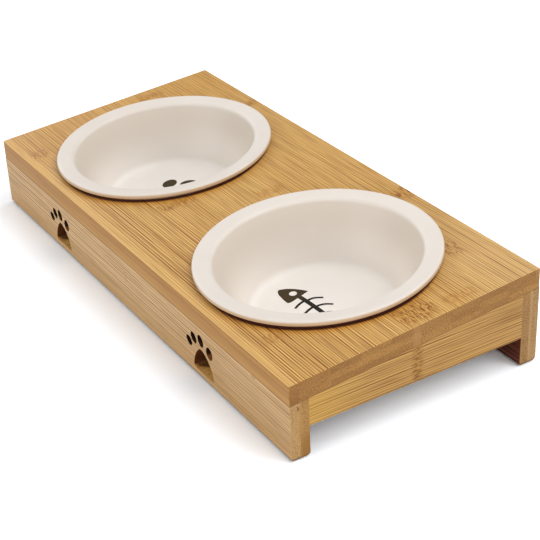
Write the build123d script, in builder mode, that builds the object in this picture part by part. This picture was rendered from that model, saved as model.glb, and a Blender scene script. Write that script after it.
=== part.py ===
from build123d import *
from math import atan2, cos, degrees, sin, tan
import os

# Raised feeding station for a cat: a sloped bamboo table that holds two glazed bowls.
# X runs along the table, -Y is the low front side, +Z is up and z = 0 is the floor.
# The origin is the middle of the footprint. All sizes are in millimetres.

# Table
length = 400.0
width = 177.0
front_height = 51.0
rear_height = 65.0
board_thickness = 13.0  # measured plumb
board_easing = 0.7
pad_thickness = 1.0
pad_radius = 4.0
pad_inset = 6.5  # from the end of a rail to the middle of a pad

# Rails: the long ones are two plies glued face to face, the end ones sit between them
ply_thickness = 6.25
rail_thickness = 2 * ply_thickness
end_rail_clearance = 20.0  # from the floor to the level lower edge of an end rail
end_rail_easing = 0.8
front_foot_rounding = {"outer": 1.0, "inner": 2.0}
rear_foot_rounding = {"outer": 2.4, "inner": 1.0}

# Dowels
dowel_radius = 3.0
glue_gap = 0.05
board_dowel_depth = 8.0
rail_dowel_depth = 14.0
board_dowel_count = 3
board_dowel_pitch = 150.0
end_dowel_depth = 10.0
front_end_dowel_heights = [29.0]
rear_end_dowel_heights = [28.0, 42.0]

# Bowls, with radii from the bowl's axis and heights from the table's upper face
bowl_spacing = 200.0
bowl_shift = -3.0  # towards the front, measured along the slope
hole_radius = 71.8
hole_easing = 0.6
rim_radius = 78.1
rim_height = 5.3
lip_underside = 1.9
lip_rounding = 1.8
lip_lower_easing = 0.6
lip_recess_radius = 75.4  # where the hollow under the lip begins
lip_recess_height = 1.7
rest_radius = 74.4
flange_inner_radius = 66.4
flange_inner_height = 4.0
flange_rounding = 3.0
wall_root_radius = 70.2
wall_foot_radius = 48.1
floor_radius = 45.5
floor_depth = 35.0
floor_thickness = 4.5
floor_rounding = 9.0
heel_rounding = 13.0
foot_ring_height = 1.5
foot_ring_outer_radius = 39.5
foot_ring_inner_radius = 34.0
foot_ring_taper = 0.6

# Paw cut-outs in the front rail: one pad and four toes, seen from the front
paw_spacing = 203.0
paw_pad_base = 5.3  # from the floor to the flat side of the pad
paw_pad_left = (-12.0, -0.5)
paw_pad_left_bulge = (-9.3, 9.6)
paw_pad_top = (-2.2, 17.4)
paw_pad_right_bulge = (8.3, 10.8)
paw_pad_right = (12.6, -0.5)
paw_pad_base_rise = (0.0, 0.5)
paw_pad_corner_rounding = 2.4
paw_pad_top_rounding = 5.0
toe_half_lengths = [3.7, 4.0, 4.1, 4.3]
toe_half_widths = [2.75, 3.0, 3.2, 3.7]
toe_places = [(-16.0, 16.6), (-10.0, 21.4), (-1.4, 23.1), (8.8, 19.2)]  # from the pad's base
toe_leans = [150.0, 135.0, 122.0, 106.0]  # degrees from +X

# Worked-out values
slope = atan2(rear_height - front_height, width)
middle_height = (front_height + rear_height) / 2
up_slope = Vector(0, cos(slope), sin(slope))
square_up = Vector(0, -sin(slope), cos(slope))
upper_face = Plane(origin=(0, 0, middle_height), x_dir=(1, 0, 0), z_dir=square_up)
under_face = Plane(origin=(0, 0, middle_height - board_thickness), x_dir=(1, 0, 0), z_dir=square_up)
front = -width / 2
rear = width / 2
rail_foot = pad_thickness
front_rail_middle = front + ply_thickness
rear_rail_middle = rear - ply_thickness
end_rail_span = width - 2 * rail_thickness
bowl_places = {"food_bowl": bowl_spacing / 2, "water_bowl": -bowl_spacing / 2}

os.makedirs("parts", exist_ok=True)


def upper_height(y):
    """Height of the table's upper face at a given y."""
    return middle_height + y * tan(slope)


def under_height(y):
    """Height of the table's underside, where the rails meet it."""
    return upper_height(y) - board_thickness


def save(piece, name):
    piece.part.label = name
    export_step(piece.part, f"parts/{name}.step")


def nearest_corner(sketch, x, y):
    return sketch.vertices().sort_by_distance((x, y, 0))[0]


def sketch_board_dowels(y, radius):
    """Row of circles along the middle of a long rail, on the face between rail and board."""
    with Locations((0, y / cos(slope))):
        with GridLocations(board_dowel_pitch, 1, board_dowel_count, 1):
            Circle(radius)


def sketch_end_dowels(end, heights, radius):
    """Circles on the joint between an end rail and a long rail, seen from the front."""
    for height in heights:
        with Locations((end * (length - rail_thickness) / 2, height)):
            Circle(radius)


def drill_end_dowels(heights, near_y, depth):
    """Blind holes along +Y from near_y, at both ends of a long rail or through one ply."""
    with BuildSketch(Plane.XZ.offset(-near_y)) as holes:
        for end in (-1, 1):
            sketch_end_dowels(end, heights, dowel_radius)
    extrude(holes.sketch, amount=-depth, mode=Mode.SUBTRACT)


def sketch_paw(x):
    """Outline of one paw, on a plane seen from the front."""
    with BuildSketch(mode=Mode.PRIVATE) as pad:
        with BuildLine():
            ThreePointArc(paw_pad_left, paw_pad_left_bulge, paw_pad_top)
            ThreePointArc(paw_pad_top, paw_pad_right_bulge, paw_pad_right)
            ThreePointArc(paw_pad_right, paw_pad_base_rise, paw_pad_left)
        make_face()
        fillet(nearest_corner(pad, *paw_pad_top), paw_pad_top_rounding)
        fillet(nearest_corner(pad, *paw_pad_left), paw_pad_corner_rounding)
        fillet(nearest_corner(pad, *paw_pad_right), paw_pad_corner_rounding)
    with Locations((x, paw_pad_base)):
        add(pad.sketch)
        toes = zip(toe_places, toe_half_lengths, toe_half_widths, toe_leans)
        for place, half_length, half_width, lean in toes:
            with Locations(place):
                Ellipse(half_length, half_width, rotation=lean)


def make_long_ply(near_y, far_y, foot_y, foot_rounding, rail_middle):
    """One ply of a long rail: sloped top, one rounded lower edge, half of each dowel hole."""
    with BuildPart() as ply:
        with BuildSketch(Plane.YZ.offset(-length / 2)) as section:
            with BuildLine():
                Polyline(
                    (near_y, rail_foot),
                    (far_y, rail_foot),
                    (far_y, under_height(far_y)),
                    (near_y, under_height(near_y)),
                    close=True,
                )
            make_face()
            fillet(nearest_corner(section, foot_y, rail_foot), foot_rounding)
        extrude(amount=length)
        with BuildSketch(under_face):
            sketch_board_dowels(rail_middle, dowel_radius)
        extrude(amount=-rail_dowel_depth, mode=Mode.SUBTRACT)
    return ply


def make_end_rail(end):
    """Tapered rail across one end: level lower edge, upper edge on the sloped board."""
    inner_y = end_rail_span / 2
    start = length / 2 - rail_thickness if end > 0 else -length / 2
    with BuildPart() as rail:
        with BuildSketch(Plane.YZ.offset(start)):
            with BuildLine():
                Polyline(
                    (-inner_y, end_rail_clearance),
                    (inner_y, end_rail_clearance),
                    (inner_y, under_height(inner_y)),
                    (-inner_y, under_height(-inner_y)),
                    close=True,
                )
            make_face()
        extrude(amount=rail_thickness)
        fillet(rail.edges().filter_by(Axis.Y).group_by(Axis.Z)[0], end_rail_easing)
        for heights, near_y in (
            (front_end_dowel_heights, -inner_y),
            (rear_end_dowel_heights, inner_y - end_dowel_depth),
        ):
            with BuildSketch(Plane.XZ.offset(-near_y)):
                sketch_end_dowels(end, heights, dowel_radius)
            extrude(amount=-end_dowel_depth, mode=Mode.SUBTRACT)
    return rail


def make_board_dowels(rail_middle):
    """Three dowels that stand in a long rail and reach into the board, square to it."""
    dowel_length = rail_dowel_depth + board_dowel_depth - 2 * glue_gap
    with BuildPart() as dowels:
        with BuildSketch(under_face.offset(-rail_dowel_depth)):
            sketch_board_dowels(rail_middle, dowel_radius - glue_gap)
        extrude(amount=dowel_length)
    return dowels


def make_end_dowels(end):
    """Three dowels that hold one end rail to the two long rails."""
    dowel_length = 2 * end_dowel_depth - 2 * glue_gap
    joint_y = end_rail_span / 2
    with BuildPart() as dowels:
        for heights, near_y in (
            (front_end_dowel_heights, -joint_y - end_dowel_depth),
            (rear_end_dowel_heights, joint_y - end_dowel_depth),
        ):
            with BuildSketch(Plane.XZ.offset(-near_y)):
                sketch_end_dowels(end, heights, dowel_radius - glue_gap)
            extrude(amount=-dowel_length)
    return dowels


def make_bowl(x):
    """One glazed bowl, turned about an axis square to the board."""
    centre = upper_face.from_local_coords(Vector(x, bowl_shift, 0))
    section_plane = Plane(origin=centre, x_dir=(1, 0, 0), z_dir=-up_slope)
    underside = floor_depth + floor_thickness
    ring_foot = underside + foot_ring_height
    rounded_corners = [
        ((floor_radius, -floor_depth), floor_rounding),
        ((flange_inner_radius, flange_inner_height), flange_rounding),
        ((rim_radius, rim_height), lip_rounding),
        ((wall_foot_radius, -underside), heel_rounding),
    ]
    with BuildPart() as bowl:
        with BuildSketch(section_plane) as section:
            with BuildLine():
                Polyline(
                    (0, -floor_depth),
                    (floor_radius, -floor_depth),
                    (flange_inner_radius, flange_inner_height),
                    (rim_radius, rim_height),
                    (rim_radius, lip_underside),
                    (lip_recess_radius, lip_recess_height),
                    (rest_radius, 0),
                    (wall_root_radius, 0),
                    (wall_foot_radius, -underside),
                    (foot_ring_outer_radius, -underside),
                    (foot_ring_outer_radius - foot_ring_taper, -ring_foot),
                    (foot_ring_inner_radius + foot_ring_taper, -ring_foot),
                    (foot_ring_inner_radius, -underside),
                    (0, -underside),
                    close=True,
                )
            make_face()
            for corner, rounding in rounded_corners:
                fillet(nearest_corner(section, *corner), rounding)
            chamfer(nearest_corner(section, rim_radius, lip_underside), lip_lower_easing)
        revolve(axis=Axis(origin=centre, direction=square_up))
    return bowl


# Board, with its long edges cut plumb and a round hole for each bowl
with BuildPart() as top_board:
    with BuildSketch(Plane.YZ.offset(-length / 2)):
        with BuildLine():
            Polyline(
                (front, under_height(front)),
                (rear, under_height(rear)),
                (rear, upper_height(rear)),
                (front, upper_height(front)),
                close=True,
            )
        make_face()
    extrude(amount=length)
    top_face = top_board.faces().sort_by(Axis.Z)[-1]
    fillet(top_face.edges() + top_board.edges().filter_by(Axis.Z), board_easing)
    with BuildSketch(upper_face):
        with Locations(*[(x, bowl_shift) for x in bowl_places.values()]):
            Circle(hole_radius)
    extrude(amount=-2 * board_thickness, mode=Mode.SUBTRACT)
    hole_edges = top_board.edges().filter_by(GeomType.CIRCLE).filter_by(
        lambda edge: abs(edge.radius - hole_radius) < 0.01
    )
    upper_edges = hole_edges.sort_by(lambda edge: upper_face.to_local_coords(edge.center()).Z)[-2:]
    chamfer(upper_edges, hole_easing)
    with BuildSketch(under_face):
        sketch_board_dowels(front_rail_middle, dowel_radius)
        sketch_board_dowels(rear_rail_middle, dowel_radius)
    extrude(amount=board_dowel_depth, mode=Mode.SUBTRACT)
save(top_board, "top_board")

# Front rail, low, with a paw cut through both plies near each bowl
front_outer = make_long_ply(
    front, front_rail_middle, front, front_foot_rounding["outer"], front_rail_middle
)
front_inner = make_long_ply(
    front_rail_middle,
    front + rail_thickness,
    front + rail_thickness,
    front_foot_rounding["inner"],
    front_rail_middle,
)
with front_outer:
    drill_end_dowels(
        front_end_dowel_heights,
        front + rail_thickness - end_dowel_depth,
        end_dowel_depth,
    )
with front_inner:
    drill_end_dowels(front_end_dowel_heights, front_rail_middle, ply_thickness)
with BuildSketch(Plane.XZ.offset(-front)) as paws:
    for x in (paw_spacing / 2, -paw_spacing / 2):
        sketch_paw(x)
for ply in (front_outer, front_inner):
    with ply:
        extrude(paws.sketch, amount=-rail_thickness, mode=Mode.SUBTRACT)
save(front_outer, "front_rail_outer_ply")
save(front_inner, "front_rail_inner_ply")

# Rear rail, tall and plain
rear_inner = make_long_ply(
    rear - rail_thickness,
    rear_rail_middle,
    rear - rail_thickness,
    rear_foot_rounding["inner"],
    rear_rail_middle,
)
rear_outer = make_long_ply(
    rear_rail_middle, rear, rear, rear_foot_rounding["outer"], rear_rail_middle
)
with rear_inner:
    drill_end_dowels(rear_end_dowel_heights, rear - rail_thickness, ply_thickness)
with rear_outer:
    drill_end_dowels(
        rear_end_dowel_heights, rear_rail_middle, end_dowel_depth - ply_thickness
    )
save(rear_inner, "rear_rail_inner_ply")
save(rear_outer, "rear_rail_outer_ply")

# End rails and the dowels of every joint
save(make_end_rail(-1), "left_end_rail")
save(make_end_rail(1), "right_end_rail")
save(make_board_dowels(front_rail_middle), "front_board_dowels")
save(make_board_dowels(rear_rail_middle), "rear_board_dowels")
save(make_end_dowels(-1), "left_end_dowels")
save(make_end_dowels(1), "right_end_dowels")

# Anti-slip pads under the ends of the long rails
for side, y in (("front", front_rail_middle), ("rear", rear_rail_middle)):
    for end, x in (("left", pad_inset - length / 2), ("right", length / 2 - pad_inset)):
        with BuildPart() as pad:
            with BuildSketch(Plane.XY):
                with Locations((x, y)):
                    Circle(pad_radius)
            extrude(amount=pad_thickness)
        save(pad, f"{side}_{end}_foot_pad")

# Bowls
for bowl_name, x in bowl_places.items():
    save(make_bowl(x), bowl_name)

print(f"slope {degrees(slope):.2f} degrees, {len(os.listdir('parts'))} files in parts")
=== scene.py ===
import math

import bmesh
import bpy
from mathutils import Matrix, Vector


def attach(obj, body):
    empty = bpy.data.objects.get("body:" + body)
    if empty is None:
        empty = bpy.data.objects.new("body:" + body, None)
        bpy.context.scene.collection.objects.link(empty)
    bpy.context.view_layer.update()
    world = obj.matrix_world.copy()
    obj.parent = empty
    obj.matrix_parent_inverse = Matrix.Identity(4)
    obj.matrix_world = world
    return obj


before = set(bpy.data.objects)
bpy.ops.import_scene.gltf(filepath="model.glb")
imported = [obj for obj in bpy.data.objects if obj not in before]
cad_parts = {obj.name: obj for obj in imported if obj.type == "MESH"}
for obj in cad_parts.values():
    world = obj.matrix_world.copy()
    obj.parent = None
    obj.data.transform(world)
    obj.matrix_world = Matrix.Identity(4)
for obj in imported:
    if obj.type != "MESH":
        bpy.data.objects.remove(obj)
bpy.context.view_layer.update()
scene = bpy.context.scene
MM = 0.001
MM_PER_METRE = 1000.0

# Sizes of the object, in millimetres, as its solids have them
WIDTH = 177.0
REAR_RISE = 14.0
SLOPE = math.atan2(REAR_RISE, WIDTH)
BOARD_THICKNESS = 13.0
# Height of the board's upper face, half way up the slope
MIDDLE_HEIGHT = 58.0
PLY_THICKNESS = 6.25
END_RAIL_THICKNESS = 12.5
FOOT_PAD_HEIGHT = 1.0
PAW_SPACING = 203.0
# Each bowl's centre along X, and both centres up the slope from its middle
BOWL_PLACES = {"food_bowl": 100.0, "water_bowl": -100.0}
BOWL_SHIFT = -3.0
BOWL_FLOOR_DEPTH = 35.0

# Bamboo on faces along the grain: light, middle, dark and streak, as screen colours
TOP_TONES = ((249, 206, 126), (240, 192, 106), (210, 154, 66), (126, 64, 10))
SIDE_TONES = ((240, 201, 148), (234, 193, 138), (208, 163, 104), (134, 92, 50))
END_RAIL_TONES = ((228, 182, 107), (220, 171, 94), (190, 138, 64), (122, 72, 20))
# Bamboo cut across the grain: light and dark
BOARD_END_TONES = ((194, 144, 74), (143, 94, 41))
OUTER_END_TONES = ((207, 166, 109), (168, 123, 69))
# Painted shade: the rear outer ply's end is a darker copy of the front's
SHADED_REAR_OUTER_END_TONES = ((196, 157, 103), (146, 104, 56))
INNER_END_TONES = ((193, 147, 84), (151, 103, 49))
# Painted shade: the rear inner ply's end is a darker copy of the front's
SHADED_REAR_INNER_END_TONES = ((186, 142, 84), (134, 90, 42))

# Painted shade that multiplies the colour under it, as linear colours
LEFT_END_SHADE = (0.95, 0.885, 0.65, 1.0)
RIM_SURROUND_SHADE = (0.97, 0.82, 0.50, 1.0)
RIM_SHADOW_COLOUR = (0.13, 0.022, 0.012, 1.0)
INSIDE_SHADE = (0.34, 0.11, 0.06, 1.0)
DEEP_INSIDE_SHADE = (0.06, 0.009, 0.005, 1.0)

# Knots: place along the grain, place across it, half length, half width, strength
BOARD_KNOTS = (
    (-158.0, -77.5, 9.0, 6.5, 0.7),
    (-21.0, -36.5, 6.0, 13.5, 0.65),
    (72.0, 82.5, 9.0, 7.5, 1.0),
    (147.0, 64.0, 11.0, 6.0, 1.0),
    (188.0, 6.0, 10.0, 13.0, 1.0),
    (191.0, 36.0, 6.0, 12.0, 0.5),
    (155.0, -71.0, 7.0, 6.0, 0.5),
    (-120.0, 84.0, 6.0, 5.0, 0.7),
    (8.0, 20.0, 6.0, 10.0, 0.5),
    (-188.0, 30.0, 5.0, 12.0, 0.7),
)
FRONT_RAIL_KNOTS = ((0.0, 26.0, 2.0, 4.0, 0.7), (162.0, 37.0, 2.5, 2.0, 0.6))
END_RAIL_KNOTS = ((-1.5, 40.0, 4.2, 22.0, 1.0),)

# Fibres, as noise: cells in a millimetre along the grain, cells in a pitch across it, and
# the place in the noise
BROAD_FIBRES = (0.004, 0.22, 0.0)
DARK_FIBRES = (0.0035, 0.95, 11.0)
HAIR_FIBRES = (0.022, 1.75, 37.0)
BROKEN_FIBRES = (0.028, 0.80, 51.0)
# Waves of lines: spacing in pitches, place in the noise that bends them, and strength
CLOSE_LINES = (0.95, 3.0, 0.80)
WIDE_LINES = (1.37, 17.0, 0.42)
# Cells in a millimetre along the grain, across it and through the layers, in the end grain
PORE_SCALES = (0.3, 0.95, 0.95)
PATCH_SCALES = (0.3, 0.07, 0.22)


def linear(red, green, blue):
    """A screen colour, 0 to 255, as the linear colour that a shader takes."""
    out = []
    for value in (red, green, blue):
        part = value / 255.0
        out.append(part / 12.92 if part <= 0.04045 else ((part + 0.055) / 1.055) ** 2.4)
    return (*out, 1.0)


class Graph:
    """A material's node graph, with short calls for the nodes used here."""

    def __init__(self, name):
        self.material = bpy.data.materials.new(name)
        self.material.use_nodes = True
        self.tree = self.material.node_tree
        self.tree.nodes.clear()
        self.output = self.node("ShaderNodeOutputMaterial")
        self.object_place = self.node("ShaderNodeTexCoord").outputs["Object"]

    def put(self, socket, value):
        """Links or sets a socket. None leaves it as it is."""
        if value is None:
            return
        if isinstance(value, bpy.types.NodeSocket):
            self.tree.links.new(value, socket)
        else:
            socket.default_value = value

    def node(self, kind, inputs=(), **settings):
        """New node with its inputs linked or set."""
        node = self.tree.nodes.new(kind)
        for key, value in settings.items():
            setattr(node, key, value)
        for key, value in dict(inputs).items():
            self.put(node.inputs[key], value)
        return node

    def math(self, operation, first, second=None):
        node = self.node("ShaderNodeMath", operation=operation)
        for socket, value in zip(node.inputs, (first, second)):
            self.put(socket, value)
        return node.outputs[0]

    def add(self, first, second):
        return self.math("ADD", first, second)

    def subtract(self, first, second):
        return self.math("SUBTRACT", first, second)

    def multiply(self, product, *factors):
        for factor in factors:
            product = self.math("MULTIPLY", product, factor)
        return product

    def absolute(self, value):
        return self.math("ABSOLUTE", value)

    def distance(self, first, second):
        """Length of the flat step (first, second)."""
        squares = self.add(self.multiply(first, first), self.multiply(second, second))
        return self.math("SQRT", squares)

    def ramp(self, value, low, high, start=0.0, end=1.0):
        """Smooth change from start to end while value goes from low to high."""
        inputs = {"Value": value, "From Min": low, "From Max": high}
        inputs.update({"To Min": start, "To Max": end})
        node = self.node("ShaderNodeMapRange", inputs, interpolation_type="SMOOTHSTEP")
        return node.outputs["Result"]

    def vector(self, x, y, z):
        return self.node("ShaderNodeCombineXYZ", {"X": x, "Y": y, "Z": z}).outputs[0]

    def split(self, vector):
        return self.node("ShaderNodeSeparateXYZ", {"Vector": vector}).outputs

    def scaled(self, parts, scales):
        """Vector of three parts, each times its own scale."""
        return self.vector(*(self.multiply(part, scale) for part, scale in zip(parts, scales)))

    def facing(self):
        """X, Y and Z parts of the surface's direction."""
        return self.split(self.node("ShaderNodeNewGeometry").outputs["Normal"])

    def board_frame(self, x_centre=0.0, shift=0.0):
        """Millimetres along X, up the slope and square above the board's upper face."""
        x, y, z = self.split(self.object_place)
        y_mm = self.multiply(y, MM_PER_METRE)
        z_mm = self.subtract(self.multiply(z, MM_PER_METRE), MIDDLE_HEIGHT)
        along = self.subtract(self.multiply(x, MM_PER_METRE), x_centre)
        sine, cosine = math.sin(SLOPE), math.cos(SLOPE)
        up = self.add(self.multiply(y_mm, cosine), self.multiply(z_mm, sine))
        above = self.subtract(self.multiply(z_mm, cosine), self.multiply(y_mm, sine))
        return along, self.subtract(up, shift), above

    def noise(self, place, detail=2.0, roughness=0.5):
        """Noise in one unit of place, about 0.5 on average."""
        inputs = {"Vector": place, "Scale": 1.0, "Detail": detail, "Roughness": roughness}
        return self.node("ShaderNodeTexNoise", inputs).outputs["Fac"]

    def random(self, place):
        """Three even random numbers that stay the same over each whole cell of place."""
        node = self.node("ShaderNodeTexWhiteNoise", {"Vector": place})
        return self.split(node.outputs["Color"])

    def mix(self, amount, first, second, blend="MIX"):
        """Colour between first and second."""
        node = self.node("ShaderNodeMix", data_type="RGBA", blend_type=blend)
        for number, value in ((0, amount), (6, first), (7, second)):
            self.put(node.inputs[number], value)
        return node.outputs[2]

    def between(self, amount, first, second):
        """Plain number between first and second."""
        node = self.node("ShaderNodeMix", data_type="FLOAT")
        for number, value in ((0, amount), (2, first), (3, second)):
            self.put(node.inputs[number], value)
        return node.outputs[0]

    def blend(self, amount, first, second):
        """Shader node between the shader nodes first and second."""
        node = self.node("ShaderNodeMixShader", {0: amount})
        self.tree.links.new(first.outputs[0], node.inputs[1])
        self.tree.links.new(second.outputs[0], node.inputs[2])
        return node

    def bump(self, height, distance, strength=1.0):
        inputs = {"Height": height, "Distance": distance, "Strength": strength}
        return self.node("ShaderNodeBump", inputs).outputs[0]

    def surface(self, **inputs):
        """Closes the graph with one shader, whose inputs are given by their names."""
        shader = self.node("ShaderNodeBsdfPrincipled")
        for key, value in inputs.items():
            label = key.replace("_", " ").title().replace("Ior", "IOR")
            self.put(shader.inputs[label], value)
        self.tree.links.new(shader.outputs[0], self.output.inputs["Surface"])
        return self.material


class Bamboo(Graph):
    """Laminated bamboo under satin oil. base is its colour so far, which the tints change.

    grain tells what the strips run along: "TOP", "X" or "Y". strip and layer are the width and
    thickness of one strip, pitch is the distance from one line of fibres to the next, and
    contrast is how strongly the lines show at the left and right ends. All places are in
    millimetres: along X, up the slope, above the board's upper face, y and z.
    """

    def __init__(
        self,
        name,
        grain,
        strip,
        layer,
        seed,
        tones,
        end_tones,
        pitch,
        contrast,
        knots=(),
        strip_start=0.0,
    ):
        super().__init__(name)
        self.along, self.up, self.above = self.board_frame()
        object_place = self.split(self.object_place)
        self.y = self.multiply(object_place[1], MM_PER_METRE)
        self.z = self.multiply(object_place[2], MM_PER_METRE)
        self.normal = self.facing()
        self.pitch = pitch
        if grain == "TOP":
            self.run, self.across, self.deep = self.along, self.up, self.above
        elif grain == "X":
            self.run, self.across, self.deep = self.along, self.z, self.y
        else:
            self.run, self.across, self.deep = self.y, self.z, self.along
        end_facing = self.normal[1 if grain == "Y" else 0]

        # Strips and layers, each with its own random numbers. The nudge keeps a face that lies
        # where two layers meet in one of them.
        strip_place = self.multiply(self.subtract(self.across, strip_start), 1.0 / strip)
        layer_nudge = 0.02
        layer_place = self.multiply(self.add(self.deep, layer_nudge), 1.0 / layer)
        cell = (self.math("FLOOR", strip_place), self.math("FLOOR", layer_place), seed)
        tone_chance, crowd_chance, start_chance = self.random(self.vector(*cell))

        # Fibres: long thin straight lines, shaken at a knot
        wave_place = self.vector(
            self.multiply(self.run, 0.006), self.multiply(self.across, 0.04), seed + 3.0
        )
        wave = self.subtract(self.noise(wave_place, detail=1.0), 0.5)
        self.shaken = self.add(self.across, self.multiply(wave, 1.4))
        if knots:
            rough_place = self.vector(
                self.multiply(self.run, 0.30), self.multiply(self.across, 0.9), seed
            )
            rough = self.subtract(self.noise(rough_place, detail=3.0, roughness=0.65), 0.5)
            knot = self.knot_share(knots, rough)
            self.shaken = self.add(self.shaken, self.multiply(rough, knot, 3.0))
        self.start = self.multiply(start_chance, 90.0)
        broad = self.ramp(self.fibres(*BROAD_FIBRES, detail=2.0), 0.34, 0.66, 0.33, 0.67)
        dark_lines = self.ramp(self.fibres(*DARK_FIBRES), 0.56, 0.66)
        hair_lines = self.ramp(self.fibres(*HAIR_FIBRES), 0.50, 0.60)
        line_share = self.line_share(grain, contrast)

        light, middle, dark, streak = (linear(*tone) for tone in tones)
        self.base = self.mix(broad, light, middle)
        self.tint(self.multiply(tone_chance, 0.22), dark)
        self.tint(line_share, streak)
        crowding = self.between(crowd_chance, 0.6, 1.0)
        self.tint(self.multiply(dark_lines, 0.36, crowding), streak)
        self.tint(self.multiply(hair_lines, 0.30), streak)
        if knots:
            dash_place = self.vector(
                self.multiply(self.run, 0.13), self.multiply(self.shaken, 1.15), seed + 9.0
            )
            dashes = self.ramp(self.noise(dash_place, detail=2.0, roughness=0.6), 0.48, 0.56)
            self.tint(self.multiply(knot, 0.60), dark)
            self.tint(self.multiply(knot, dashes, 0.95), streak)

        self.ends = self.ramp(self.absolute(end_facing), 0.55, 0.85)
        cell_share = self.multiply(tone_chance, 0.50 if grain == "TOP" else 0.15)
        end_colour, pores = self.end_grain(end_tones, cell_share)
        self.tint(self.ends, end_colour)

        relief = self.add(self.multiply(dark_lines, -0.6), self.multiply(line_share, -0.5))
        self.relief = self.between(self.ends, relief, self.multiply(pores, -0.8))
        self.roughness = self.add(0.44, self.multiply(dark_lines, 0.14))

    def knot_share(self, knots, rough):
        """How much a point is in a knot, a band across the grain whose sides are rough."""
        knot = None
        for run_place, across_place, half_length, half_width, strength in knots:
            wander = self.multiply(rough, half_length * 1.6)
            run_off = self.absolute(self.subtract(self.add(self.run, wander), run_place))
            across_off = self.absolute(self.subtract(self.across, across_place))
            in_run = self.ramp(run_off, half_length * 0.25, half_length * 1.3, strength, 0.0)
            in_across = self.ramp(across_off, half_width * 0.8, half_width * 1.15, 1.0, 0.0)
            here = self.multiply(in_run, in_across)
            knot = here if knot is None else self.math("MAXIMUM", knot, here)
        return knot

    def fibres(self, run_scale, across_scale, shift, detail=1.0):
        """Noise in cells that are long along the grain."""
        place = self.vector(
            self.add(self.multiply(self.run, run_scale), self.start),
            self.add(self.multiply(self.shaken, across_scale / self.pitch), shift),
            self.multiply(self.deep, across_scale / self.pitch),
        )
        return self.noise(place, detail=detail, roughness=0.6)

    def lines(self, spacing, shift, strength):
        """Waves across the grain, unevenly spaced."""
        wobble = self.multiply(self.fibres(0.004, 0.55, shift), 0.85)
        turns = self.add(self.multiply(self.shaken, 1.0 / (spacing * self.pitch)), wobble)
        wave = self.math("SINE", self.multiply(turns, 2 * math.pi))
        return self.multiply(wave, strength)

    def line_share(self, grain, contrast):
        """How much a point is in one of the lines of fibres."""
        unbroken = self.ramp(self.fibres(*BROKEN_FIBRES), 0.36, 0.60, 0.30, 1.0)
        strength = self.ramp(self.along, -180.0, 180.0, *contrast)
        if grain == "TOP":
            strength = self.multiply(strength, self.ramp(self.up, -62.0, -25.0, 1.0, 0.58))
        both = self.add(self.lines(*CLOSE_LINES), self.lines(*WIDE_LINES))
        swing = self.multiply(both, unbroken, strength)
        return self.math("POWER", self.add(self.multiply(swing, 0.5), 0.5), 1.6)

    def end_grain(self, end_tones, cell_share):
        """Colour and pores of bundles of fibres cut across, in the layers of the lamination."""
        place = (self.run, self.across, self.deep)
        pore_noise = self.noise(self.scaled(place, PORE_SCALES), detail=3.0, roughness=0.75)
        pores = self.ramp(pore_noise, 0.36, 0.66)
        patches = self.ramp(self.noise(self.scaled(place, PATCH_SCALES)), 0.40, 0.60)
        light, dark = (linear(*tone) for tone in end_tones)
        colour = self.mix(pores, light, dark)
        colour = self.mix(self.multiply(patches, 0.35), colour, light)
        return self.mix(cell_share, colour, linear(134, 88, 38)), pores

    def tint(self, amount, colour, blend="MIX"):
        """Mixes colour into the base, or another blend of the two."""
        self.base = self.mix(amount, self.base, colour, blend)

    def tint_near(self, distance, reach, colour, amount):
        """Mixes colour in where distance, in millimetres, is under reach."""
        self.tint(self.ramp(self.absolute(distance), reach * 0.35, reach, amount, 0.0), colour)

    def glue_line(self, amount):
        """Dark line where the board's lower face is glued to the rails."""
        self.tint_near(self.add(self.above, BOARD_THICKNESS), 0.5, linear(120, 76, 36), amount)

    def shade_inside(self, towards, height, run):
        """Painted shade: darker, redder, streaked bamboo on faces that look under the board."""
        place = self.vector(self.multiply(run, 0.02), self.multiply(height, 0.75), 4.0)
        streaks = self.ramp(self.noise(place, detail=1.0), 0.47, 0.56, 0.0, 0.9)
        depth = self.math("MAXIMUM", self.ramp(height, 8.0, 26.0), streaks)
        painted_shade = self.mix(depth, INSIDE_SHADE, DEEP_INSIDE_SHADE)
        self.tint(self.ramp(towards, 0.70, 0.95), painted_shade, "MULTIPLY")

    def oiled(self):
        """The finished material."""
        return self.surface(
            base_color=self.base,
            roughness=self.roughness,
            normal=self.bump(self.relief, 0.00007, strength=0.8),
            specular_ior_level=0.32,
            coat_weight=0.07,
            coat_roughness=0.32,
        )


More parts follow.
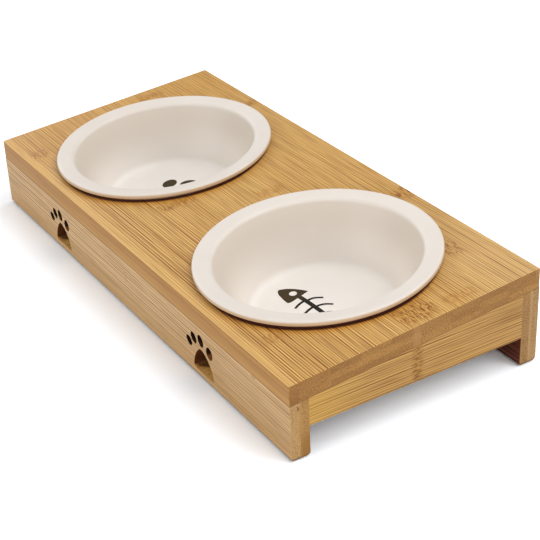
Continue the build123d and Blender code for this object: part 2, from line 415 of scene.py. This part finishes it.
def board_material():
    """Top board: its face, front edge and ends, and the painted shadow under the bowls' rims."""
    wood = Bamboo(
        "bamboo_board",
        grain="TOP",
        strip=21.0,
        layer=4.34,
        seed=2.0,
        tones=TOP_TONES,
        end_tones=BOARD_END_TONES,
        pitch=1.70,
        contrast=(0.70, 1.40),
        knots=BOARD_KNOTS,
        strip_start=-83.0,
    )
    level = wood.ramp(wood.normal[2], 0.5, 0.9)
    pale_edge = wood.multiply(wood.ramp(wood.up, -82.0, -83.5), level)
    wood.tint(wood.multiply(pale_edge, 0.45), linear(230, 184, 112))
    # Painted shade: the left end of the top is darker and warmer, which offsets the sheen there
    painted_left_shade = wood.multiply(wood.ramp(wood.along, -80.0, -190.0), level)
    wood.tint(wood.multiply(painted_left_shade, 0.8), LEFT_END_SHADE, "MULTIPLY")
    # Painted sheen: the top is paler towards the rear right
    painted_sheen = wood.multiply(wood.ramp(wood.along, 60.0, 170.0), wood.ramp(wood.up, 25.0, 70.0))
    wood.tint(wood.multiply(painted_sheen, level, 0.10), linear(255, 232, 190))

    # Front edge, a darker band
    front_edge = wood.ramp(wood.normal[1], -0.75, -0.95)
    wood.tint(front_edge, wood.mix(0.80, wood.base, linear(186, 135, 73)))
    wood.glue_line(0.55)

    # Ends: a paler line near the middle, darker towards the front
    line_off = wood.absolute(wood.add(wood.y, 2.0))
    wood.tint(
        wood.multiply(wood.ramp(line_off, 1.0, 4.0, 0.35, 0.0), wood.ends), linear(196, 150, 92)
    )
    darker_end = wood.multiply(wood.ramp(wood.up, -35.0, -80.0, 0.0, 0.28), wood.ends)
    wood.tint(darker_end, linear(134, 84, 30))
    wood.shade_inside(wood.multiply(wood.normal[2], -1.0), wood.up, wood.along)

    # Painted shadow under each bowl's rim, which is 78 mm in radius: a dark ring that reaches
    # furthest towards the front right, and there painted shade also darkens the wood round it.
    bowl_place = wood.multiply(wood.math("SIGN", wood.along), BOWL_PLACES["food_bowl"])
    from_centre = wood.subtract(wood.along, bowl_place)
    from_middle = wood.subtract(wood.up, BOWL_SHIFT)
    radius = wood.distance(from_centre, from_middle)
    nearward = wood.subtract(wood.multiply(from_centre, 0.87), wood.multiply(from_middle, 0.50))
    ring_edge = wood.ramp(nearward, 25.0, 76.0, 77.4, 79.2)
    ring_outside = wood.ramp(wood.subtract(radius, ring_edge), -1.7, 0.5, 1.0, 0.0)
    ring = wood.multiply(wood.ramp(radius, 73.5, 76.0), ring_outside)
    painted_rim_surround_shade = wood.multiply(
        wood.ramp(nearward, 25.0, 76.0), wood.ramp(radius, 79.0, 85.0, 1.0, 0.0)
    )
    wood.tint(wood.multiply(painted_rim_surround_shade, level), RIM_SURROUND_SHADE, "MULTIPLY")
    wood.tint(wood.multiply(ring, level), RIM_SHADOW_COLOUR, "MULTIPLY")
    return wood.oiled()


def burn_and_shade_cut_outs(wood):
    """Paw cut-out walls: scorched by the cutter, painted shade on steep walls and toes, painted
    light where walls face up.
    """
    across = wood.ramp(wood.absolute(wood.normal[1]), 0.75, 0.35)
    off_floor = wood.ramp(wood.z, 2.5, 4.0)
    off_ends = wood.ramp(wood.absolute(wood.along), 190.0, 185.0)
    under_board = wood.ramp(wood.above, -16.0, -18.0)
    cut = wood.multiply(wood.multiply(across, off_floor), wood.multiply(off_ends, under_board))
    scorch_place = wood.vector(wood.along, wood.multiply(wood.y, 0.25), wood.z)
    scorch = wood.ramp(wood.noise(scorch_place, detail=2.0, roughness=0.6), 0.40, 0.60)

    # Toes above and left of the pad, and where a painted shadow starts across the deep part of the
    # cut's lower face
    paw_place = wood.multiply(wood.math("SIGN", wood.along), PAW_SPACING / 2)
    from_paw = wood.subtract(wood.along, paw_place)
    toe = wood.math(
        "MAXIMUM", wood.ramp(wood.z, 18.5, 20.5), wood.ramp(from_paw, -12.2, -13.0)
    )
    right_toe = wood.ramp(from_paw, 0.0, 9.0)
    inwards = wood.add(wood.y, WIDTH / 2)
    shadow_edge_depth = wood.multiply(wood.add(from_paw, 12.0), 0.78)
    in_painted_shadow = wood.ramp(wood.subtract(inwards, shadow_edge_depth), -1.5, 2.0, 0.0, 0.85)

    # Painted shade: the steep walls are dark and the toes near black, the right toe a little
    # lighter
    painted_shade_toe = wood.mix(right_toe, linear(26, 12, 6), linear(60, 28, 16))
    steep = wood.mix(toe, linear(104, 56, 24), painted_shade_toe)
    burnt_and_shaded = wood.mix(wood.multiply(scorch, 0.40), steep, linear(40, 20, 8))
    # Painted light: faces that look up are pale, less so in the left toes, and painted shade
    # covers them past the shadow's edge
    painted_lit_toe = wood.mix(right_toe, linear(56, 28, 12), linear(172, 106, 58))
    painted_lit_faces = wood.mix(wood.multiply(scorch, 0.6), linear(255, 198, 110), linear(214, 142, 70))
    painted_lit_faces = wood.mix(wood.multiply(toe, 0.95), painted_lit_faces, painted_lit_toe)
    painted_lit_faces = wood.mix(in_painted_shadow, painted_lit_faces, burnt_and_shaded)
    wood.tint(cut, wood.mix(wood.ramp(wood.normal[2], 0.35, 0.75), burnt_and_shaded, painted_lit_faces))


def rail_material(name, seed, inward, end_tones, pale_line, knots=(), low_end_darkening=0.0):
    """Ply of a long rail. inward is -1 or 1: the side of Y that looks under the board.

    pale_line is the place along Y of the pale line in its ends, and low_end_darkening is how much
    darker the lower part of its ends is.
    """
    wood = Bamboo(
        name,
        grain="X",
        strip=18.0,
        layer=PLY_THICKNESS,
        seed=seed,
        tones=SIDE_TONES,
        end_tones=end_tones,
        pitch=2.0,
        contrast=(1.70, 0.68),
        knots=knots,
    )
    wood.glue_line(0.55)
    sides = wood.subtract(1.0, wood.ends)
    # Painted light: the long faces are paler towards the left
    painted_light_left = wood.multiply(wood.ramp(wood.along, 100.0, 20.0, 0.0, 0.12), sides)
    wood.tint(painted_light_left, linear(252, 218, 168))
    low = wood.multiply(wood.ramp(wood.z, 20.0, 6.0), sides)
    wood.tint(wood.multiply(low, 0.35), linear(190, 144, 84))
    line_off = wood.absolute(wood.subtract(wood.y, pale_line))
    pale = wood.multiply(wood.ramp(line_off, 0.4, 1.3, 0.55, 0.0), wood.ends)
    wood.tint(pale, linear(*end_tones[0]))
    # Painted shade: a dark line along the lower edge, just above the foot pads
    wood.tint_near(wood.subtract(wood.z, FOOT_PAD_HEIGHT), 1.5, linear(84, 54, 28), 0.6)
    # The ends are darker towards the bottom
    darker_low_end = wood.multiply(wood.ramp(wood.z, 24.0, 8.0, 0.0, low_end_darkening), wood.ends)
    wood.tint(darker_low_end, linear(152, 104, 38))

    # Short dark split in the right end of the front rail
    split_y = wood.ramp(wood.absolute(wood.add(wood.y, 83.2)), 0.25, 0.75, 1.0, 0.0)
    split_z = wood.ramp(wood.absolute(wood.subtract(wood.z, 34.5)), 0.9, 1.9, 1.0, 0.0)
    right_end = wood.multiply(wood.ramp(wood.along, 150.0, 190.0), wood.ends)
    wood.tint(wood.multiply(split_y, split_z, right_end, 0.7), linear(84, 52, 26))
    wood.shade_inside(wood.multiply(wood.normal[1], inward), wood.z, wood.along)
    burn_and_shade_cut_outs(wood)
    return wood.oiled()


def end_rail_material():
    """Rail between the long ones, with one knot across its middle."""
    wood = Bamboo(
        "bamboo_end_rail",
        grain="Y",
        strip=24.0,
        layer=END_RAIL_THICKNESS,
        seed=11.0,
        tones=END_RAIL_TONES,
        end_tones=BOARD_END_TONES,
        pitch=1.75,
        contrast=(0.80, 0.80),
        knots=END_RAIL_KNOTS,
    )
    # Painted light: the front part of the rail is paler
    wood.tint(wood.ramp(wood.y, -25.0, -75.0, 0.0, 0.24), linear(250, 200, 92))
    side = wood.math("SIGN", wood.along)
    wood.shade_inside(wood.multiply(wood.normal[0], side, -1.0), wood.z, wood.y)
    wood.glue_line(0.5)
    return wood.oiled()


def grainy_material(name, scales, grain_roughness, tones, relief, **shader):
    """Plain stuff with one fine noise in its colour and relief; scales are cells in a metre."""
    graph = Graph(name)
    place = graph.scaled(graph.split(graph.object_place), scales)
    grain = graph.noise(place, detail=3.0, roughness=grain_roughness)
    base = graph.mix(grain, *(linear(*tone) for tone in tones))
    return graph.surface(base_color=base, normal=graph.bump(grain, relief), **shader)


def glaze_material(name, x_centre, seed, tone):
    """Warm white satin glaze, bare underneath, with painted shade and light inside and on the lip.

    tone is painted shade over the whole bowl: how light it is, 1 at most.
    """
    graph = Graph(name)
    along, up, above = graph.board_frame(x_centre, BOWL_SHIFT)
    place = (along, up, graph.add(above, seed))

    def cloud_of(scale, detail=2.0, roughness=0.5):
        return graph.noise(graph.scaled(place, (scale,) * 3), detail, roughness)

    cloud = cloud_of(0.03)
    speck = graph.ramp(cloud_of(0.9, 3.0, 0.6), 0.70, 0.76)
    lift = graph.ramp(cloud, 0.35, 0.65)
    flange = graph.mix(lift, linear(236, 228, 219), linear(233, 224, 215))
    # Painted light: the floor is lighter than the flange
    painted_lit_floor = graph.mix(lift, linear(252, 246, 240), linear(249, 243, 237))
    base = graph.mix(graph.ramp(above, -22.0, -32.0), flange, painted_lit_floor)
    # Painted shade on the steep walls: darker near the top, lighter towards the floor
    slant = graph.ramp(graph.facing()[2], 0.96, 0.60)
    inside = graph.ramp(above, 3.6, 1.0)
    painted_wall_shading = graph.mix(
        graph.ramp(above, -4.0, -30.0), linear(218, 207, 194), linear(241, 233, 224)
    )
    base = graph.mix(graph.multiply(slant, inside), base, painted_wall_shading)
    base = graph.mix(graph.multiply(speck, 0.05), base, linear(176, 150, 118))

    # Lip, up to 78 mm from the centre: a painted tan reflection of the wood on the lower half of
    # its side
    outer = graph.ramp(graph.distance(along, up), 76.0, 76.8)
    painted_wood_reflection = graph.multiply(outer, graph.ramp(above, 4.9, 3.8))
    base = graph.mix(graph.multiply(painted_wood_reflection, 0.85), base, linear(203, 171, 130))

    # Foot ring: no glaze where it stands
    bare = graph.ramp(above, -40.55, -40.75)
    base = graph.mix(bare, base, linear(206, 190, 166))
    # Painted shade over the whole bowl, by tone
    base = graph.mix(1.0, base, (tone, tone, tone, 1.0), "MULTIPLY")
    roughness = graph.between(bare, graph.add(0.40, graph.multiply(cloud, 0.12)), 0.8)
    return graph.surface(
        base_color=base,
        roughness=roughness,
        normal=graph.bump(cloud_of(0.25, 3.0), 0.00012, strength=0.35),
        specular_ior_level=0.42,
        coat_weight=0.10,
        coat_roughness=0.30,
    )


def print_material():
    """Dark olive print of a fired transfer, thicker and darker on the thin bones."""
    graph = Graph("print_ink")
    parts = graph.split(graph.object_place)
    grain = graph.noise(graph.scaled(parts, (420.0,) * 3), detail=3.0)
    base = graph.mix(grain, linear(58, 45, 18), linear(72, 57, 28))
    base = graph.mix(graph.ramp(parts[0], 0.083, 0.090, 0.0, 0.85), base, linear(10, 6, 2))
    return graph.surface(
        base_color=base,
        roughness=graph.ramp(grain, 0.0, 1.0, 0.50, 0.62),
        normal=graph.bump(grain, 0.00002),
        specular_ior_level=0.22,
    )


def dress(material, *node_names):
    """Gives one material to CAD nodes."""
    for node_name in node_names:
        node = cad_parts[node_name]
        node.data.materials.clear()
        node.data.materials.append(material)


# Wood, rubber and glaze on the nodes
dress(board_material(), "top_board")
RAIL_PLIES = {
    "front_rail_outer_ply": dict(
        name="bamboo_front_outer",
        seed=5.0,
        inward=1.0,
        end_tones=OUTER_END_TONES,
        pale_line=-89.0,
        knots=FRONT_RAIL_KNOTS,
    ),
    "front_rail_inner_ply": dict(
        name="bamboo_front_inner",
        seed=6.0,
        inward=1.0,
        end_tones=INNER_END_TONES,
        pale_line=-81.5,
        low_end_darkening=0.6,
    ),
    "rear_rail_inner_ply": dict(
        name="bamboo_rear_inner",
        seed=7.0,
        inward=-1.0,
        end_tones=SHADED_REAR_INNER_END_TONES,
        pale_line=82.6,
    ),
    "rear_rail_outer_ply": dict(
        name="bamboo_rear_outer",
        seed=8.0,
        inward=-1.0,
        end_tones=SHADED_REAR_OUTER_END_TONES,
        pale_line=82.8,
    ),
}
for rail_name, rail_settings in RAIL_PLIES.items():
    dress(rail_material(**rail_settings), rail_name)
dress(end_rail_material(), "left_end_rail", "right_end_rail")
dowel_wood = grainy_material(
    "dowel_wood",
    scales=(900.0, 300.0, 120.0),
    grain_roughness=0.5,
    tones=((226, 202, 158), (190, 156, 106)),
    relief=0.00008,
    roughness=0.6,
    specular_ior_level=0.4,
)
dress(
    dowel_wood, "front_board_dowels", "rear_board_dowels", "left_end_dowels", "right_end_dowels"
)
pad_rubber = grainy_material(
    "pad_rubber",
    scales=(1800.0, 1800.0, 1800.0),
    grain_roughness=0.7,
    tones=((34, 33, 32), (58, 56, 54)),
    relief=0.0001,
    roughness=0.82,
    specular_ior_level=0.35,
)
dress(
    pad_rubber,
    "front_left_foot_pad",
    "front_right_foot_pad",
    "rear_left_foot_pad",
    "rear_right_foot_pad",
)
for bowl_name, glaze_seed, painted_light_level in (("food_bowl", 0.0, 1.0), ("water_bowl", 7.0, 0.96)):
    glaze = glaze_material(
        f"glaze_{bowl_name}", BOWL_PLACES[bowl_name], glaze_seed, painted_light_level
    )
    dress(glaze, bowl_name)


# Prints on the bowls' floors, in millimetres. Each is sunk a little in the glaze, and each of
# its shapes stands a little above the one before, so that no two share a face.
PRINT_THICKNESS = 0.10
PRINT_MIDDLE = PRINT_THICKNESS * 0.3
SHAPE_STEP = 0.004
OVAL_POINTS = 12


def bowl_floor_matrix(bowl):
    """From millimetres on a bowl's floor (X, up the slope, square above) to the row frame."""
    sine, cosine = math.sin(SLOPE), math.cos(SLOPE)
    up = Vector((0.0, cosine, sine))
    above = Vector((0.0, -sine, cosine))
    centre = Vector((BOWL_PLACES[bowl], 0.0, MIDDLE_HEIGHT)) + up * BOWL_SHIFT
    centre -= above * BOWL_FLOOR_DEPTH
    turn = Matrix((Vector((1.0, 0.0, 0.0)), up, above)).transposed().to_4x4()
    return Matrix.Scale(MM, 4) @ Matrix.Translation(centre) @ turn


def stroke(points, widths):
    """Closed outline of a tapered line through points."""
    left, right = [], []
    for number, (here, width) in enumerate(zip(points, widths)):
        before = Vector(points[max(number - 1, 0)])
        after = Vector(points[min(number + 1, len(points) - 1)])
        direction = (after - before).normalized()
        side = Vector((-direction.y, direction.x)) * width / 2
        left.append(tuple(Vector(here) + side))
        right.append(tuple(Vector(here) - side))
    return left + right[::-1]


def oval(centre, long_half, short_half, lean):
    """Outline of an oval whose long axis leans by that many degrees from X."""
    turn = Matrix.Rotation(math.radians(lean), 2)
    points = []
    for number in range(OVAL_POINTS):
        angle = 2 * math.pi * number / OVAL_POINTS
        offset = turn @ Vector((long_half * math.cos(angle), short_half * math.sin(angle)))
        points.append((centre[0] + offset.x, centre[1] + offset.y))
    return points


def filled(outlines, corners):
    """Flat mesh between outlines. A later outline that lies in the first one is a hole.

    corners are the numbers of the first outline's points that stay sharp.
    """
    curve = bpy.data.curves.new("print_lines", "CURVE")
    curve.dimensions = "2D"
    curve.fill_mode = "BOTH"
    curve.resolution_u = 8
    curve.extrude = PRINT_THICKNESS / 2
    for outline in outlines:
        spline = curve.splines.new("BEZIER")
        spline.bezier_points.add(len(outline) - 1)
        spline.use_cyclic_u = True
        for number, (point, place) in enumerate(zip(spline.bezier_points, outline)):
            point.co = (*place, 0.0)
            kind = "VECTOR" if outline is outlines[0] and number in corners else "AUTO"
            point.handle_left_type = kind
            point.handle_right_type = kind
    holder = bpy.data.objects.new("print_lines", curve)
    scene.collection.objects.link(holder)
    bpy.context.view_layer.update()
    evaluated = holder.evaluated_get(bpy.context.evaluated_depsgraph_get())
    mesh = bpy.data.meshes.new_from_object(evaluated)
    bpy.data.objects.remove(holder)
    return mesh


def print_piece(name, bowl, shapes, material):
    """Thin printed shapes on a bowl's floor. Each shape is (outlines, numbers of its corners)."""
    joined = bmesh.new()
    for number, (outlines, corners) in enumerate(shapes):
        flat = filled(outlines, corners)
        flat.transform(Matrix.Translation((0.0, 0.0, PRINT_MIDDLE + number * SHAPE_STEP)))
        joined.from_mesh(flat)
        bpy.data.meshes.remove(flat)
    mesh = bpy.data.meshes.new(name)
    joined.to_mesh(mesh)
    joined.free()
    mesh.transform(bowl_floor_matrix(bowl))
    mesh.materials.append(material)
    piece = bpy.data.objects.new(name, mesh)
    scene.collection.objects.link(piece)
    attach(piece, bowl)


FISH_OFFSET = (-2.6, 1.5)
PAW_OFFSET = (-3.4, 1.5)


def moved(points, offset):
    """Points of an outline, each shifted by offset."""
    return [(x + offset[0], y + offset[1]) for x, y in points]


def bone(points, start_width, end_width):
    """Line through points whose width changes evenly; its four end corners are sharp."""
    steps = len(points) - 1
    change = end_width - start_width
    widths = [start_width + change * number / steps for number in range(steps + 1)]
    return [stroke(moved(points, FISH_OFFSET), widths)], (0, steps, steps + 1, 2 * steps + 1)


ink = print_material()
fish_head = [
    (-29.5, -14.3), (-28.9, -11.9), (-25.6, -7.2), (-20.5, -3.0), (-16.1, -0.2), (-15.0, -4.6),
    (-13.4, -11.0), (-12.6, -15.2), (-13.0, -17.5), (-15.4, -17.8), (-20.6, -17.5), (-26.6, -16.4),
]
fish_eye = oval((-20.1, -9.2), 2.6, 2.6, 50.0)
fish_tail = [(20.5, -6.6), (26.0, -2.6), (31.5, 0.6), (29.0, -6.4), (30.5, -14.0), (25.5, -10.6)]
fish = [
    ([moved(fish_head, FISH_OFFSET), moved(fish_eye, FISH_OFFSET)], (4,)),
    bone([(-14.2, -8.1), (-6.0, -7.4), (8.4, -6.8), (22.0, -6.5)], 3.3, 3.0),
    bone([(-7.2, -7.4), (-7.0, -2.3), (-3.4, 3.0)], 2.0, 1.6),
    bone([(2.0, -7.0), (3.0, -1.4), (7.1, 3.6)], 2.0, 1.6),
    bone([(11.5, -6.7), (12.8, -3.0), (15.8, 0.4)], 1.8, 1.4),
    bone([(-8.2, -7.6), (-7.4, -12.0), (-4.8, -17.5)], 2.0, 1.6),
    bone([(1.0, -7.1), (2.6, -12.6), (5.2, -18.0)], 2.0, 1.6),
    bone([(10.4, -6.9), (11.6, -11.4), (13.8, -15.4)], 1.8, 1.4),
    ([moved(fish_tail, FISH_OFFSET)], (0, 2, 4)),
]
print_piece("fishbone_print", "food_bowl", fish, ink)
# Four toes and the pad: centre, half length, half width, lean
paw = [
    ([moved(oval(*toe), PAW_OFFSET)], ())
    for toe in (
        ((-2.5, -11.6), 5.6, 4.4, 165.0),
        ((-7.1, 2.4), 6.2, 5.0, 118.0),
        ((3.1, 13.1), 6.6, 5.2, 62.0),
        ((16.0, 11.5), 5.6, 4.4, 95.0),
        ((10.0, -3.6), 10.2, 8.6, 40.0),
    )
]
print_piece("paw_print", "water_bowl", paw, ink)


# Camera at the photograph's angle, fitted to the object's straight edges and rims. The rows
# point to its right, down and ahead.
CAMERA_ROWS = (
    Vector((0.52871807, 0.84768928, -0.0433599)),
    Vector((0.40116714, -0.29458001, -0.86734511)),
    Vector((-0.74801212, 0.44118647, -0.49581486)),
)
CAMERA_PLACE = (0.72211, -0.40442, 0.47262)
camera_data = bpy.data.cameras.new("camera")
camera_data.sensor_width = 36.0
camera_data.lens = 91.687
camera_data.clip_start = 0.01
camera_data.clip_end = 50.0
camera = bpy.data.objects.new("camera", camera_data)
turn = Matrix((CAMERA_ROWS[0], -CAMERA_ROWS[1], -CAMERA_ROWS[2])).transposed().to_4x4()
camera.matrix_world = Matrix.Translation(CAMERA_PLACE) @ turn
scene.collection.objects.link(camera)
scene.camera = camera

# Studio light: each softbox's name, place, size in metres and watts, and a dim world that the
# camera sees as white
OBJECT_MIDDLE = (0.0, 0.0, 0.03)
SOFTBOXES = (
    ("overhead_softbox", (0.28, 0.72, 1.38), (2.0, 1.4), 16.0),
    ("front_softbox", (-0.1, -1.6, 0.46), (1.6, 0.5), 8.4),
    ("right_softbox", (1.6, -0.45, 0.22), (1.1, 0.32), 5.7),
    ("left_softbox", (-1.6, -0.1, 0.8), (1.1, 0.8), 5.4),
)
WORLD_COLOUR = (1.0, 0.985, 0.965, 1.0)
WORLD_STRENGTH = 0.45
WHITE = (1.0, 1.0, 1.0, 1.0)


def area_light(name, place, size, watts, target=OBJECT_MIDDLE):
    """Softbox that shines from place to target. The camera doesn't see it."""
    data = bpy.data.lights.new(name, "AREA")
    data.shape = "RECTANGLE"
    data.size, data.size_y = size
    data.energy = watts
    lamp = bpy.data.objects.new(name, data)
    lamp.visible_camera = False
    lamp.location = place
    direction = Vector(target) - Vector(place)
    lamp.rotation_euler = direction.to_track_quat("-Z", "Y").to_euler()
    scene.collection.objects.link(lamp)
    return lamp


for softbox in SOFTBOXES:
    area_light(*softbox)

world = bpy.data.worlds.new("studio")
scene.world = world
world.use_nodes = True
world_tree = world.node_tree
world_tree.nodes.clear()
world_output = world_tree.nodes.new("ShaderNodeOutputWorld")
world_path = world_tree.nodes.new("ShaderNodeLightPath")
world_mix = world_tree.nodes.new("ShaderNodeMixShader")
world_tree.links.new(world_path.outputs["Is Camera Ray"], world_mix.inputs[0])
for number, colour, strength in ((1, WORLD_COLOUR, WORLD_STRENGTH), (2, WHITE, 1.0)):
    background = world_tree.nodes.new("ShaderNodeBackground")
    background.inputs["Color"].default_value = colour
    background.inputs["Strength"].default_value = strength
    world_tree.links.new(background.outputs[0], world_mix.inputs[number])
world_tree.links.new(world_mix.outputs[0], world_output.inputs["Surface"])

# Floor, in metres: how far it reaches, how far it lies under the feet, and between which
# distances from the middle it turns plain white. The camera sees a colour over 1 on it,
# because the light there is dimmer than white.
FLOOR_REACH = 6.0
FLOOR_DROP = 0.00005
WHITE_START, WHITE_END = 0.45, 0.80
FLOOR_COLOUR = (0.66, 0.68, 0.70, 1.0)
SEEN_FLOOR_COLOUR = (1.205, 1.255, 1.325, 1.0)


def floor_material():
    """Plain pale floor that shows white where no shadow falls."""
    graph = Graph("studio_floor")
    path = graph.node("ShaderNodeLightPath").outputs
    seen_directly = graph.math("MAXIMUM", path["Is Camera Ray"], path["Is Transmission Ray"])
    away = graph.node("ShaderNodeVectorMath", {"Vector": graph.object_place}, operation="LENGTH")
    far_off = graph.ramp(away.outputs["Value"], WHITE_START, WHITE_END)
    plain = graph.node("ShaderNodeBsdfDiffuse", {"Color": FLOOR_COLOUR})
    shadowed = graph.node("ShaderNodeBsdfDiffuse", {"Color": SEEN_FLOOR_COLOUR})
    white = graph.node("ShaderNodeEmission", {"Color": WHITE, "Strength": 1.0})
    shown = graph.blend(far_off, shadowed, white)
    both = graph.blend(seen_directly, plain, shown)
    graph.tree.links.new(both.outputs[0], graph.output.inputs["Surface"])
    return graph.material


floor_mesh = bpy.data.meshes.new("studio_floor")
floor_corners = [(-1, -1), (1, -1), (1, 1), (-1, 1)]
floor_mesh.from_pydata(
    [(x * FLOOR_REACH, y * FLOOR_REACH, 0.0) for x, y in floor_corners], [], [(0, 1, 2, 3)]
)
floor_mesh.materials.append(floor_material())
floor = bpy.data.objects.new("studio_floor", floor_mesh)
floor.location.z = -FLOOR_DROP
scene.collection.objects.link(floor)

# Light for the floor alone, which lifts the shadow beside the right end
floor_light = area_light("floor_softbox", (1.3, 0.45, 0.9), (1.2, 0.8), 9.0, (0.15, 0.0, 0.0))
floor_only = bpy.data.collections.new("floor_only")
floor_only.objects.link(floor)
floor_light.light_linking.receiver_collection = floor_only

scene.view_settings.view_transform = "Standard"
